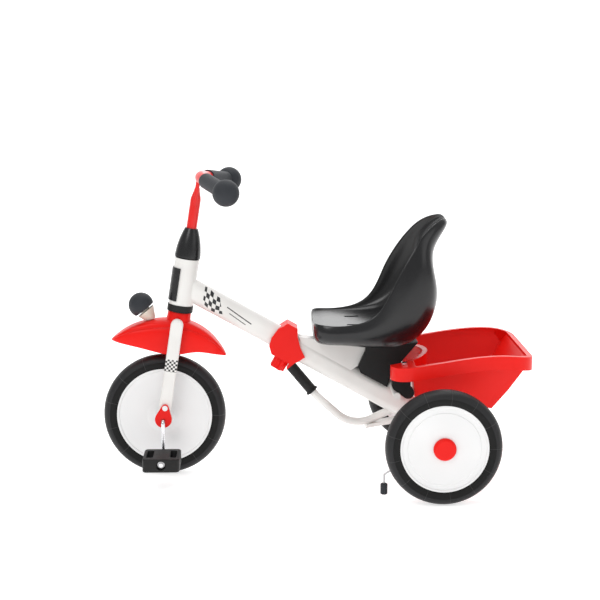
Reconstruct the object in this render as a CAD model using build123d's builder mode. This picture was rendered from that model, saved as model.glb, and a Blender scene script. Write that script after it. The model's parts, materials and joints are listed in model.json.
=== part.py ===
from build123d import *
import os
from math import cos, hypot, radians, sin

# A child's tricycle with pedals on the front wheel, a telescoping frame, a bucket seat and a tipping
# tray. Millimetres, +Z up. The front of the tricycle points to -X and its left side to -Y. The origin
# is on the floor, midway between the front tyre's leading edge and the back of the tray.

# ---------------------------------------------------------------- driving dimensions
front_tyre_d = 250
rear_tyre_d = 226
tyre_width = 42
tyre_height = 28            # from the rim's seat to the tread
wheelbase = 547
track = 450                 # between the middles of the rear tyres
tray_overhang = 188         # from the rear axle to the back of the tray
steer_tilt = 8.8            # degrees, steering axis leaning back

fork_leg_wide, fork_leg_thick = 25, 16
fork_gap = 76               # between the fork legs
fork_leg_top = 208          # up the steering axis from the front axle
crown_s, crown_d = 186, 18
steerer_d, steerer_top = 24, 345
head_d, head_bore = 50, 44
head_bottom, head_top = 231, 326
ring_height, ring_d = 14, 52
head_joint = 270            # where the main tube's centre line meets the steering axis

front_tube_tall, front_tube_wide = 47, 33
tube_wall = 1.8
tube_overlap = 90           # of the front tube inside the rear tube, at the shortest frame
tube_end_drop = 5.5         # the main tube's centre line under the rear axle's centre
clamp_u = 240               # clamp centre along the main tube
clamp_wall = 5.5
beam_d, beam_wall = 28, 2.5
axle_d = 10
lower_tube_d, sleeve_d = 16.5, 22

crank_d, crank_length = 8, 68
crank_arm_gap = 13          # from a fork leg's outer face to the crank arm's centre line
pedal_wide, pedal_long, pedal_thick = 73, 78, 27
hub_end_y = 36

stem_d, bar_d, grip_d, ball_d = 18, 25, 31, 52
bar_wall = 2
bar_apex_s = 493            # handlebar's middle, up the steering axis
bar_half, bar_sweep, bar_drop = 145, 57, 19
grip_start_y = 40

seat_half, seat_wall = 105, 5
seat_pan_z = 317
tray_half, tray_wall, tray_flange, tray_skirt = 150, 3, 10, 27
tray_pivot_rise = 37        # above the rear axle
pivot_pin_d = 8

slide_clearance = 0.05      # each side, one part sliding or turning on another
part_gap = 0.5              # between parts that pass each other

# ---------------------------------------------------------------- places worked out from them
front_r, rear_r = front_tyre_d / 2, rear_tyre_d / 2
crank_arm_y = fork_gap / 2 + fork_leg_thick + crank_arm_gap
x_front = front_r - (front_r + wheelbase + tray_overhang) / 2
x_rear = x_front + wheelbase
wheel_y = track / 2
tilt_sin, tilt_cos = sin(radians(steer_tilt)), cos(radians(steer_tilt))


def steer_point(s, x=0, y=0):
    """A point s up the steering axis from the front axle, x behind the axis, y to the right."""
    return (x_front + s * tilt_sin + x * tilt_cos, y, front_r + s * tilt_cos - x * tilt_sin)


def steer_plane(s):
    """The plane across the steering axis, its local x pointing back."""
    return Plane(origin=steer_point(s), x_dir=(tilt_cos, 0, -tilt_sin), z_dir=(tilt_sin, 0, tilt_cos))


def leg_plane(y):
    """An upright plane at y, its local x up the steering axis and its local y towards the front."""
    return Plane(origin=steer_point(0, 0, y), x_dir=(tilt_sin, 0, tilt_cos), z_dir=(0, 1, 0))


head_point = steer_point(head_joint)
tube_run = x_rear - head_point[0]
tube_fall = head_point[2] - (rear_r - tube_end_drop)
tube_length = hypot(tube_run, tube_fall)
tube_dx, tube_dz = tube_run / tube_length, -tube_fall / tube_length


def tube_point(u, v=0):
    """A point u down the main tube from the steering axis and v square above its centre line."""
    return (head_point[0] + u * tube_dx - v * tube_dz, 0, head_point[2] + u * tube_dz + v * tube_dx)


def tube_plane(u):
    """The plane across the main tube, its local x square above the centre line."""
    return Plane(origin=tube_point(u), x_dir=(-tube_dz, 0, tube_dx), z_dir=(tube_dx, 0, tube_dz))


def tube_side(y=0):
    """The upright plane along the main tube, in local coordinates u and v."""
    return Plane(origin=(head_point[0], y, head_point[2]), x_dir=(tube_dx, 0, tube_dz), z_dir=(0, -1, 0))


rear_tube_bore_tall = front_tube_tall + 2 * slide_clearance
rear_tube_bore_wide = front_tube_wide + 2 * slide_clearance
rear_tube_tall = rear_tube_bore_tall + 2 * tube_wall
rear_tube_wide = rear_tube_bore_wide + 2 * tube_wall
rear_tube_start = clamp_u - 20
front_tube_end = rear_tube_start + tube_overlap
tube_top = rear_tube_tall / 2


def save(piece, name):
    """Label a finished piece and write it under its own name."""
    piece.part.label = name
    export_step(piece.part, f"parts/{name}.step")


def side_point(base, dx, z):
    """A point of a side outline, dx behind base."""
    return (base + dx, z)


def guard_point(dx, dz):
    """A point of a side outline, dx behind the front axle and dz above it."""
    return (x_front + dx, front_r + dz)


def over_tube(dx, rise):
    """A point of a side outline, dx behind the rear axle and rise above the top of the main tube."""
    return (x_rear + dx, tube_point(0, tube_top)[2] + rise
            + (x_rear + dx - tube_point(0, tube_top)[0]) * tube_dz / tube_dx)


os.makedirs("parts", exist_ok=True)

# ---------------------------------------------------------------- wheels
tyre_half = tyre_width / 2
rim_half = tyre_half - 4


def wheel_plane(x, y, r):
    """A plane through a wheel's centre, its local x outwards from the axle and its local y along it."""
    return Plane(origin=(x, y, r), x_dir=(1, 0, 0), z_dir=(0, 0, 1))


def wheel_axis(x, r):
    return Axis((x, 0, r), (0, 1, 0))


def make_tyre(x, y, r):
    """A tyre with a stepped side wall and a round tread."""
    seat_r = r - tyre_height
    shoulder_r = r - 12
    with BuildPart() as tyre:
        with BuildSketch(wheel_plane(x, y, r)):
            with BuildLine():
                Polyline(
                    (shoulder_r, -tyre_half + 1.5),
                    (shoulder_r - 1.5, -tyre_half),
                    (seat_r + 4, -tyre_half + 1),
                    (seat_r, -rim_half),
                    (seat_r, rim_half),
                    (seat_r + 4, tyre_half - 1),
                    (shoulder_r - 1.5, tyre_half),
                    (shoulder_r, tyre_half - 1.5),
                )
                ThreePointArc((shoulder_r, tyre_half - 1.5), (r, 0), (shoulder_r, -tyre_half + 1.5))
            make_face()
        revolve(axis=wheel_axis(x, r))
    return tyre


front_tyre = make_tyre(x_front, 0, front_r)
save(front_tyre, "front_tyre")

front_rim_r = front_r - tyre_height
disc_wall = 3


def make_front_disc(side):
    """One moulded half of the front wheel, from its middle plane to its hub end."""
    with BuildPart() as disc:
        with BuildSketch(wheel_plane(x_front, 0, front_r)):
            with BuildLine():
                Polyline(
                    (crank_d / 2, 0),
                    (crank_d / 2, side * hub_end_y),
                    (16, side * hub_end_y),
                    (20, side * (rim_half + 6)),
                    (36, side * (rim_half + 2)),
                    (front_rim_r - 6, side * (rim_half - 1)),
                    (front_rim_r - 4, side * (rim_half + 1)),
                    (front_rim_r, side * (rim_half + 1)),
                    (front_rim_r, side * rim_half),
                    (front_rim_r, 0),
                    (front_rim_r - disc_wall, 0),
                    (front_rim_r - disc_wall, side * (rim_half - 1 - disc_wall)),
                    (36, side * (rim_half + 2 - disc_wall)),
                    (14, side * (rim_half - 1)),
                    (12, 0),
                    close=True,
                )
            make_face()
        revolve(axis=wheel_axis(x_front, front_r))
    return disc


front_disc_left = make_front_disc(-1)
save(front_disc_left, "front_disc_left")
front_disc_right = make_front_disc(1)
save(front_disc_right, "front_disc_right")

rear_rim_r = rear_r - tyre_height
bush_r, bush_flange_r = 8, 12
cap_r, cap_rise = 22, 7
hub_r = 18
wheel_inner_y = rim_half + 1          # from the wheel's middle to its inner face


def make_rear_disc(side, outer):
    """A moulded half of a rear wheel: the outer one has a shallow step and a recess for the cap."""
    y = side * wheel_y
    t = side if outer else -side
    face = rim_half
    with BuildPart() as disc:
        with BuildSketch(wheel_plane(x_rear, y, rear_r)):
            with BuildLine():
                if outer:
                    Polyline(
                        (bush_r, 0),
                        (bush_r, t * (face - 3)),
                        (cap_r, t * (face - 3)),
                        (cap_r, t * face),
                        (0.82 * rear_rim_r, t * face),
                        (0.84 * rear_rim_r, t * (face - 1.5)),
                        (rear_rim_r - 5, t * (face - 1.5)),
                        (rear_rim_r - 3, t * (face + 1)),
                        (rear_rim_r, t * (face + 1)),
                        (rear_rim_r, 0),
                        (rear_rim_r - disc_wall, 0),
                        (rear_rim_r - disc_wall, t * (face - 1.5 - disc_wall)),
                        (0.8 * rear_rim_r, t * (face - disc_wall)),
                        (cap_r + disc_wall, t * (face - disc_wall)),
                        (hub_r, t * (face - 3 - disc_wall)),
                        (hub_r - 2, 0),
                        close=True,
                    )
                else:
                    Polyline(
                        (bush_r, 0),
                        (bush_r, t * face),
                        (hub_r, t * face),
                        (hub_r + 2, t * (face - 5)),
                        (rear_rim_r - 5, t * (face - 3)),
                        (rear_rim_r - 3, t * (face + 1)),
                        (rear_rim_r, t * (face + 1)),
                        (rear_rim_r, 0),
                        (rear_rim_r - disc_wall, 0),
                        (rear_rim_r - disc_wall, t * (face - 3 - disc_wall)),
                        (hub_r + 2, t * (face - 5 - disc_wall)),
                        (hub_r - 2, 0),
                        close=True,
                    )
            make_face()
        revolve(axis=wheel_axis(x_rear, rear_r))
    return disc


bush_length = 8
bush_bore_r = axle_d / 2 + slide_clearance


def make_wheel_bushes(side):
    """Two plastic bushes in a rear hub; the inner one has a flange."""
    y = side * wheel_y
    with BuildPart() as bushes:
        with BuildSketch(wheel_plane(x_rear, y, rear_r)):
            with BuildLine():
                Polyline(
                    (bush_bore_r, -side * (rim_half - bush_length)),
                    (bush_bore_r, -side * wheel_inner_y),
                    (bush_flange_r, -side * wheel_inner_y),
                    (bush_flange_r, -side * rim_half),
                    (bush_r, -side * rim_half),
                    (bush_r, -side * (rim_half - bush_length)),
                    close=True,
                )
            make_face()
            with BuildLine():
                Polyline(
                    (bush_bore_r, side * (rim_half - 3 - bush_length)),
                    (bush_bore_r, side * (rim_half - 3)),
                    (bush_r, side * (rim_half - 3)),
                    (bush_r, side * (rim_half - 3 - bush_length)),
                    close=True,
                )
            make_face()
        revolve(axis=wheel_axis(x_rear, rear_r))
    return bushes


def make_wheel_cap(side):
    """A domed push-on cap over the end of the rear axle."""
    base_y = side * (wheel_y + rim_half - 3)
    with BuildPart() as cap:
        with BuildSketch(Plane(origin=(x_rear, base_y, rear_r), z_dir=(0, side, 0))):
            Circle(cap_r)
        extrude(amount=3 + cap_rise)
        fillet(cap.edges().sort_by(Axis.Y)[-1 if side > 0 else 0], 5)
        with BuildSketch(Plane(origin=(x_rear, base_y, rear_r), z_dir=(0, side, 0))):
            Circle(cap_r - 3)
        extrude(amount=cap_rise + 1, mode=Mode.SUBTRACT)
    return cap


for side, word in ((-1, "left"), (1, "right")):
    rear_tyre = make_tyre(x_rear, side * wheel_y, rear_r)
    save(rear_tyre, f"{word}_rear_tyre")
    rear_disc_outer = make_rear_disc(side, True)
    save(rear_disc_outer, f"{word}_disc_outer")
    rear_disc_inner = make_rear_disc(side, False)
    save(rear_disc_inner, f"{word}_disc_inner")
    wheel_bushes = make_wheel_bushes(side)
    save(wheel_bushes, f"{word}_wheel_bushes")
    wheel_cap = make_wheel_cap(side)
    save(wheel_cap, f"{word}_wheel_cap")

# ---------------------------------------------------------------- crank axle and pedals
spindle_end_y = crank_arm_y + crank_d / 2 + 3 + pedal_long - 6
pedal_start_y = crank_arm_y + crank_d / 2 + 3
crank_bend = 6

with BuildPart() as crank_axle:
    with BuildLine(Plane(origin=(x_front, 0, front_r), x_dir=(0, 1, 0), z_dir=(1, 0, 0))) as crank_path:
        FilletPolyline(
            (-spindle_end_y, -crank_length),
            (-crank_arm_y, -crank_length),
            (-crank_arm_y, 0),
            (crank_arm_y, 0),
            (crank_arm_y, crank_length),
            (spindle_end_y, crank_length),
            radius=crank_bend,
        )
    with BuildSketch(Plane(origin=crank_path.line @ 0, z_dir=crank_path.line % 0)):
        Circle(crank_d / 2)
    sweep()
save(crank_axle, "crank_axle")

pedal_bore_r = crank_d / 2 + slide_clearance
clip_pocket = 12


def make_pedal(side):
    """A moulded pedal with rounded corners, a through bore and two long windows."""
    z = front_r + side * crank_length
    middle_y = side * (pedal_start_y + pedal_long / 2)
    outer_y = side * (pedal_start_y + pedal_long)
    with BuildPart() as pedal:
        with BuildSketch(Plane.XY.offset(z - pedal_thick / 2)):
            with Locations((x_front, middle_y)):
                RectangleRounded(pedal_wide, pedal_long, 8)
        extrude(amount=pedal_thick)
        fillet(pedal.edges().group_by(Axis.Z)[-1] + pedal.edges().group_by(Axis.Z)[0], 3)
        with BuildSketch(Plane.XY.offset(z - pedal_thick / 2)):
            with Locations((x_front - 23, middle_y), (x_front + 23, middle_y)):
                RectangleRounded(13, pedal_long - 30, 4)
        extrude(amount=pedal_thick, mode=Mode.SUBTRACT)
        with BuildSketch(Plane(origin=(x_front, 0, z), x_dir=(1, 0, 0), z_dir=(0, side, 0))):
            Circle(pedal_bore_r)
        extrude(amount=abs(outer_y) + 1, mode=Mode.SUBTRACT)
        pocket_start = abs(outer_y) - clip_pocket
        with BuildSketch(Plane(origin=(x_front, side * pocket_start, z), z_dir=(0, side, 0))):
            Circle(9)
        extrude(amount=clip_pocket + 1, mode=Mode.SUBTRACT)
    return pedal


left_pedal = make_pedal(-1)
save(left_pedal, "left_pedal")
right_pedal = make_pedal(1)
save(right_pedal, "right_pedal")

with BuildPart() as pedal_clips:
    for side in (-1, 1):
        clip_y = side * (pedal_start_y + pedal_long - clip_pocket + part_gap)
        clip_z = front_r + side * crank_length
        with BuildSketch(Plane(origin=(x_front, clip_y, clip_z), z_dir=(0, side, 0))):
            Circle(7)
            Circle(crank_d / 2, mode=Mode.SUBTRACT)
        extrude(amount=2)
save(pedal_clips, "pedal_clips")

# ---------------------------------------------------------------- fork
leg_in_y = fork_gap / 2
leg_out_y = leg_in_y + fork_leg_thick
fork_bush_r = 8
fork_bore_r = crank_d / 2 + slide_clearance
cap_thick = 8
cap_screw_s = 26
cap_screw_d, cap_screw_head_d, cap_screw_head = 4, 11, 2

with BuildPart() as stem_bolt:
    bolt_s = 337
    with BuildSketch(Plane(origin=steer_point(bolt_s, -11), z_dir=(tilt_cos, 0, -tilt_sin))):
        Circle(2.5)
    extrude(amount=31)
    with BuildSketch(Plane(origin=steer_point(bolt_s, 20), z_dir=(tilt_cos, 0, -tilt_sin))):
        Circle(4.5)
    extrude(amount=5)
save(stem_bolt, "stem_bolt")

with BuildPart() as fork_cap_screws:
    for side in (-1, 1):
        cap_face = side * (leg_out_y + cap_thick)
        with BuildSketch(Plane(origin=steer_point(cap_screw_s, 0, cap_face), z_dir=(0, -side, 0))):
            Circle(cap_screw_head_d / 2)
        extrude(amount=cap_screw_head)
        with BuildSketch(Plane(origin=steer_point(cap_screw_s, 0, cap_face), z_dir=(0, -side, 0))):
            Circle(cap_screw_d / 2)
        extrude(amount=cap_thick + 10)
save(fork_cap_screws, "fork_cap_screws")

with BuildPart() as fork:
    for side in (-1, 1):
        with BuildSketch(leg_plane(side * (leg_in_y + fork_leg_thick / 2))):
            with Locations(((fork_leg_top - fork_leg_wide / 2) / 2, 0)):
                SlotCenterToCenter(fork_leg_top - fork_leg_wide / 2, fork_leg_wide)
        extrude(amount=fork_leg_thick / 2, both=True)
    fillet(fork.edges().filter_by(GeomType.LINE), 4)
    with BuildSketch(leg_plane(0)):
        with Locations((crown_s, 0)):
            Circle(crown_d / 2)
    extrude(amount=leg_in_y + 1, both=True)
    with BuildSketch(steer_plane(crown_s)):
        Circle(steerer_d / 2)
    extrude(amount=steerer_top - crown_s)
    with BuildSketch(steer_plane(steerer_top)):
        Circle(stem_d / 2)
    extrude(amount=-80, mode=Mode.SUBTRACT)
    with BuildSketch(leg_plane(0)):
        Circle(fork_bush_r)
    extrude(amount=leg_out_y + 1, both=True, mode=Mode.SUBTRACT)
    add(stem_bolt.part, mode=Mode.SUBTRACT)
    add(fork_cap_screws.part, mode=Mode.SUBTRACT)
save(fork, "fork")


with BuildPart() as fork_bushes:
    for side in (-1, 1):
        with BuildSketch(Plane(origin=(x_front, side * (hub_end_y + part_gap), front_r), z_dir=(0, side, 0))):
            Circle(11)
            Circle(fork_bore_r, mode=Mode.SUBTRACT)
        extrude(amount=leg_in_y - hub_end_y - part_gap)
        with BuildSketch(Plane(origin=(x_front, side * leg_in_y, front_r), z_dir=(0, side, 0))):
            Circle(fork_bush_r)
            Circle(fork_bore_r, mode=Mode.SUBTRACT)
        extrude(amount=fork_leg_thick)
save(fork_bushes, "fork_bushes")


def make_fork_cap(side):
    """A drop-shaped cover on the foot of a fork leg, its narrow end up."""
    with BuildPart() as cap:
        with BuildSketch(leg_plane(side * (leg_out_y + cap_thick / 2))):
            with BuildLine():
                CenterArc((2, 0), 17, 0, 360)
                CenterArc((cap_screw_s, 0), 7, 0, 360)
            make_hull()
        extrude(amount=cap_thick / 2, both=True)
        outer_face = cap.faces().sort_by(Axis.Y)[-1 if side > 0 else 0]
        fillet(outer_face.edges(), 2)
        with BuildSketch(leg_plane(side * leg_out_y)):
            Circle(crank_d / 2 + part_gap)
        extrude(amount=cap_thick + 1, both=True, mode=Mode.SUBTRACT)
        add(fork_cap_screws.part, mode=Mode.SUBTRACT)
    return cap


for side, word in ((-1, "left"), (1, "right")):
    fork_cap = make_fork_cap(side)
    save(fork_cap, f"fork_cap_{word}")

# ---------------------------------------------------------------- mudguard and horn
guard_half, guard_wall = 36, 2.5
collar_r, collar_top = 23.5, 216
horn_tilt = 38
horn_x, horn_z = -38, 218           # middle of the horn's flat back, from the front axle
horn_r = 25.5
horn_plane = Plane(
    origin=(x_front + horn_x, 0, front_r + horn_z),
    x_dir=(cos(radians(horn_tilt)), 0, sin(radians(horn_tilt))),
    z_dir=(-sin(radians(horn_tilt)), 0, cos(radians(horn_tilt))),
)

with BuildPart() as guard_outline:
    with BuildSketch(Plane.XZ):
        with BuildLine():
            Spline(
                guard_point(-107, 156),
                guard_point(-75, 181),
                guard_point(-38, 197),
                guard_point(8, 200),
                guard_point(52, 196),
                guard_point(98, 166),
                guard_point(128, 121),
            )
            Spline(
                guard_point(128, 121),
                guard_point(90, 131),
                guard_point(56, 134),
                guard_point(28, 126),
            )
            Spline(
                guard_point(28, 126),
                guard_point(-2, 132),
                guard_point(-50, 146),
                guard_point(-107, 156),
            )
        make_face()
    extrude(amount=guard_half, both=True)

with BuildPart() as mudguard:
    add(guard_outline.part)
    with BuildSketch(Plane.XZ):
        with BuildLine():
            Spline(
                guard_point(-103, 145),
                guard_point(-74, 178),
                guard_point(-38, 197 - guard_wall),
                guard_point(8, 200 - guard_wall),
                guard_point(51, 196 - guard_wall),
                guard_point(96, 164),
                guard_point(124, 115),
            )
            Polyline(
                guard_point(124, 115),
                guard_point(124, 95),
                guard_point(-103, 95),
                guard_point(-103, 145),
            )
        make_face()
    extrude(amount=guard_half - guard_wall, both=True, mode=Mode.SUBTRACT)
    with BuildSketch(steer_plane(crown_s + crown_d / 2 + 1)):
        Circle(collar_r)
    extrude(amount=collar_top - crown_s - crown_d / 2 - 1)
    with BuildSketch(steer_plane(crown_s)):
        Circle(steerer_d / 2 + part_gap)
    extrude(amount=collar_top - crown_s, mode=Mode.SUBTRACT)
    with BuildSketch(leg_plane(0)):
        with Locations((crown_s - 40, 0)):
            SlotCenterToCenter(80, crown_d + 2 * part_gap)
    extrude(amount=guard_half + 1, both=True, mode=Mode.SUBTRACT)
save(mudguard, "mudguard")

horn_gap = 4
horn_stem_r, horn_stem_bore_r = 5, 5 + slide_clearance

with BuildPart() as horn_cap:
    with BuildSketch(horn_plane):
        Circle(horn_r)
    extrude(amount=25)
    fillet(horn_cap.faces().sort_by(Axis(horn_plane.origin, horn_plane.z_dir))[-1].edges(), 20)
    with BuildSketch(horn_plane):
        Circle(horn_r - 3)
    extrude(amount=14, mode=Mode.SUBTRACT)
    with BuildSketch(horn_plane.offset(14)):
        Circle(horn_stem_r)
    extrude(amount=-18)
save(horn_cap, "horn_cap")

with BuildPart() as horn_base:
    with BuildSketch(horn_plane.offset(-horn_gap)):
        Circle(horn_r - 6)
    with BuildSketch(horn_plane.offset(-26)):
        with Locations((-2, 0)):
            Circle(9)
    loft()
    with BuildSketch(horn_plane.offset(-horn_gap)):
        Circle(10)
        Circle(horn_stem_bore_r, mode=Mode.SUBTRACT)
    extrude(amount=horn_gap + 4)
    with BuildSketch(horn_plane.offset(-horn_gap - 8)):
        Circle(horn_stem_bore_r)
    extrude(amount=20, mode=Mode.SUBTRACT)
    add(guard_outline.part, mode=Mode.SUBTRACT)
save(horn_base, "horn_base")

# ---------------------------------------------------------------- handlebar
bar_apex = steer_point(bar_apex_s)
arm_length = hypot(bar_sweep, bar_half, bar_drop)
tongue_thick, tongue_wide = 8, 24


def bar_point(side, y):
    """A point of the handlebar's middle line, y out from the middle on one side."""
    share = y / bar_half
    return (bar_apex[0] + bar_sweep * share, side * y, bar_apex[2] - bar_drop * share)


def bar_plane(side, y):
    """The plane across one arm of the handlebar, facing outwards."""
    return Plane(origin=bar_point(side, y), z_dir=(bar_sweep, side * bar_half, -bar_drop))


with BuildPart() as handlebar:
    with BuildLine() as bar_line:
        FilletPolyline(bar_point(-1, bar_half - 12), bar_apex, bar_point(1, bar_half - 12), radius=60)
    with BuildSketch(Plane(origin=bar_line.line @ 0, z_dir=bar_line.line % 0)):
        Circle(bar_d / 2)
    sweep()
    with BuildSketch(steer_plane(steerer_top - 80)):
        Circle(stem_d / 2)
    extrude(amount=448 - steerer_top + 80)
    with BuildSketch(steer_plane(436)):
        RectangleRounded(tongue_thick, tongue_wide, 3)
    extrude(amount=bar_apex_s - 436)
    add(stem_bolt.part, mode=Mode.SUBTRACT)
    with BuildSketch(Plane(origin=bar_line.line @ 0, z_dir=bar_line.line % 0)):
        Circle(bar_d / 2 - bar_wall)
    sweep(path=bar_line.line, mode=Mode.SUBTRACT)
save(handlebar, "handlebar")


def make_grip(side):
    """A rubber grip with a safety ball at its outer end."""
    with BuildPart() as grip:
        with BuildSketch(bar_plane(side, grip_start_y)):
            Circle(grip_d / 2)
        extrude(amount=(bar_half - grip_start_y) / bar_half * arm_length)
        with Locations(bar_point(side, bar_half)):
            Sphere(ball_d / 2)
        add(handlebar.part, mode=Mode.SUBTRACT)
    return grip


left_grip = make_grip(-1)
save(left_grip, "left_grip")
right_grip = make_grip(1)
save(right_grip, "right_grip")

cone_top_s, cone_top_r = 388, 13
with BuildPart() as stem_cone:
    with BuildSketch(Plane(origin=steer_point(0), x_dir=(tilt_cos, 0, -tilt_sin), z_dir=(0, -1, 0))):
        with BuildLine():
            Polyline(
                (stem_d / 2, cone_top_s),
                (stem_d / 2, steerer_top),
                (steerer_d / 2, steerer_top),
                (steerer_d / 2, head_top + 2 + part_gap),
                (ring_d / 2, head_top + 2 + part_gap),
                (ring_d / 2, head_top + 6),
            )
            ThreePointArc((ring_d / 2, head_top + 6), (21.5, head_top + 36), (cone_top_r, cone_top_s))
            Line((cone_top_r, cone_top_s), (stem_d / 2, cone_top_s))
        make_face()
    revolve(axis=Axis(steer_point(0), (tilt_sin, 0, tilt_cos)))
    add(stem_bolt.part, mode=Mode.SUBTRACT)
save(stem_cone, "stem_cone")

# ---------------------------------------------------------------- front frame: head tube and front tube
steerer_run_r = steerer_d / 2 + slide_clearance
plug_length = 14

with BuildPart() as head_tube:
    with BuildSketch(steer_plane(head_bottom)):
        Circle(head_d / 2)
        Circle(head_bore / 2, mode=Mode.SUBTRACT)
    extrude(amount=head_top - head_bottom)
save(head_tube, "head_tube")

with BuildPart() as head_outline:
    with BuildSketch(steer_plane(head_bottom)):
        Circle(head_d / 2)
    extrude(amount=head_top - head_bottom)

with BuildPart() as front_tube:
    with BuildSketch(tube_plane(0)):
        SlotOverall(front_tube_tall, front_tube_wide)
        SlotOverall(front_tube_tall - 2 * tube_wall, front_tube_wide - 2 * tube_wall, mode=Mode.SUBTRACT)
    extrude(amount=front_tube_end)
    add(head_outline.part, mode=Mode.SUBTRACT)
    with BuildSketch(steer_plane(head_bottom)):
        Circle(ring_d / 2)
    extrude(amount=-ring_height, mode=Mode.SUBTRACT)
save(front_tube, "front_tube")

with BuildPart() as lower_steering_bush:
    with BuildSketch(steer_plane(head_bottom - ring_height)):
        Circle(ring_d / 2)
    extrude(amount=ring_height)
    with BuildSketch(steer_plane(head_bottom)):
        Circle(head_bore / 2)
    extrude(amount=plug_length)
    with BuildSketch(steer_plane(head_bottom - ring_height)):
        Circle(steerer_run_r)
    extrude(amount=ring_height + plug_length, mode=Mode.SUBTRACT)
save(lower_steering_bush, "lower_steering_bush")

with BuildPart() as upper_steering_bush:
    with BuildSketch(steer_plane(head_top)):
        Circle(head_d / 2 - 2)
    extrude(amount=2)
    with BuildSketch(steer_plane(head_top)):
        Circle(head_bore / 2)
    extrude(amount=-plug_length)
    with BuildSketch(steer_plane(head_top + 2)):
        Circle(steerer_run_r)
    extrude(amount=-plug_length - 2, mode=Mode.SUBTRACT)
save(upper_steering_bush, "upper_steering_bush")

trim_half_angle = 68
with BuildPart() as head_trim:
    with BuildSketch(steer_plane(head_bottom + 8)):
        Circle(head_d / 2 + 2)
        Circle(head_d / 2, mode=Mode.SUBTRACT)
        with Locations((head_d - (head_d / 2) * cos(radians(trim_half_angle)), 0)):
            Rectangle(2 * head_d, 3 * head_d, mode=Mode.SUBTRACT)
    extrude(amount=67)
save(head_trim, "head_trim")

# ---------------------------------------------------------------- rear frame: main tube and axle beam
beam_half = wheel_y - wheel_inner_y - 3
beam_bore_r = beam_d / 2 - beam_wall
knob_u = clamp_u + 8
stud_r = 4


def make_bar(x, z, r, half):
    """A round bar along Y about the middle plane."""
    with BuildPart() as bar:
        with BuildSketch(Plane(origin=(x, 0, z), z_dir=(0, 1, 0))):
            Circle(r)
        extrude(amount=half, both=True)
    return bar


pivot_z = rear_r + tray_pivot_rise
lug_y, lug_thick = 36, 8            # the tray's lugs, between the beam's two ears
ear_y, ear_thick = lug_y + lug_thick + part_gap, 5
beam_outline = make_bar(x_rear, rear_r, beam_d / 2, beam_half)

with BuildPart() as tube_outline:
    with BuildSketch(tube_plane(rear_tube_start)):
        SlotOverall(rear_tube_tall, rear_tube_wide)
    extrude(amount=tube_length - rear_tube_start)

with BuildPart() as rear_main_tube:
    add(tube_outline.part)
    with BuildSketch(tube_plane(rear_tube_start)):
        SlotOverall(rear_tube_bore_tall, rear_tube_bore_wide)
    extrude(amount=tube_length - rear_tube_start, mode=Mode.SUBTRACT)
    with BuildSketch(Plane(origin=tube_point(knob_u, -tube_top - 2), z_dir=(-tube_dz, 0, tube_dx))):
        Circle(stud_r + part_gap)
    extrude(amount=10, mode=Mode.SUBTRACT)
    add(beam_outline.part, mode=Mode.SUBTRACT)
save(rear_main_tube, "rear_main_tube")

with BuildPart() as axle_beam:
    add(beam_outline.part)
    for side in (-1, 1):
        ear_middle = side * (ear_y + ear_thick / 2)
        with BuildSketch(Plane(origin=(x_rear, ear_middle, rear_r), x_dir=(1, 0, 0), z_dir=(0, -1, 0))):
            with BuildLine():
                CenterArc((0, tray_pivot_rise), 10, 0, 360)
                CenterArc((0, 0), 13, 0, 360)
            make_hull()
        extrude(amount=ear_thick / 2, both=True)
    add(make_bar(x_rear, pivot_z, pivot_pin_d / 2, ear_y + ear_thick).part, mode=Mode.SUBTRACT)
    add(make_bar(x_rear, rear_r, beam_bore_r, beam_half).part, mode=Mode.SUBTRACT)
save(axle_beam, "axle_beam")

with BuildPart() as beam_plugs:
    for side in (-1, 1):
        with BuildSketch(Plane(origin=(x_rear, side * (beam_half - 15), rear_r), z_dir=(0, side, 0))):
            Circle(beam_bore_r)
            Circle(axle_d / 2, mode=Mode.SUBTRACT)
        extrude(amount=15)
        with BuildSketch(Plane(origin=(x_rear, side * beam_half, rear_r), z_dir=(0, side, 0))):
            Circle(beam_d / 2)
            Circle(axle_d / 2, mode=Mode.SUBTRACT)
        extrude(amount=2)
save(beam_plugs, "beam_plugs")

axle_half = wheel_y + rim_half + 2
rear_axle = make_bar(x_rear, rear_r, axle_d / 2, axle_half)
save(rear_axle, "rear_axle")

with BuildPart() as axle_clips:
    for side in (-1, 1):
        clip_y = side * (wheel_y + rim_half - 3 + part_gap)
        with BuildSketch(Plane(origin=(x_rear, clip_y, rear_r), z_dir=(0, side, 0))):
            Circle(9)
            Circle(axle_d / 2, mode=Mode.SUBTRACT)
        extrude(amount=1.5)
save(axle_clips, "axle_clips")

# ---------------------------------------------------------------- clamp, knob and lower tube
clamp_half = rear_tube_wide / 2 + clamp_wall
sleeve_turn = 21.2          # degrees the sleeve runs steeper than the main tube
sleeve_length = 67
turn_cos, turn_sin = cos(radians(sleeve_turn)), sin(radians(sleeve_turn))
sleeve_dir = (tube_dx * turn_cos + tube_dz * turn_sin, 0, tube_dz * turn_cos - tube_dx * turn_sin)
sleeve_start = tube_point(clamp_u + 31.5, -tube_top - 14.25)
sleeve_plane = Plane(origin=sleeve_start, z_dir=sleeve_dir)

with BuildPart() as clamp_screws:
    for u, v in ((clamp_u - 9, tube_top + 5.5), (clamp_u - 12, -tube_top - 4)):
        with BuildSketch(Plane(origin=(tube_point(u, v)[0], -18, tube_point(u, v)[2]), z_dir=(0, 1, 0))):
            Circle(1.8)
        extrude(amount=18 + clamp_half - 2)
        with BuildSketch(
            Plane(origin=(tube_point(u, v)[0], clamp_half - 2, tube_point(u, v)[2]), z_dir=(0, 1, 0))
        ):
            Circle(3.4)
        extrude(amount=2)
save(clamp_screws, "clamp_screws")

knob_axis_dir = (-tube_dz, 0, tube_dx)


def knob_plane(v):
    """A plane across the clamp knob's axis, v above the main tube's centre line."""
    return Plane(origin=tube_point(knob_u, v), z_dir=knob_axis_dir)


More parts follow.
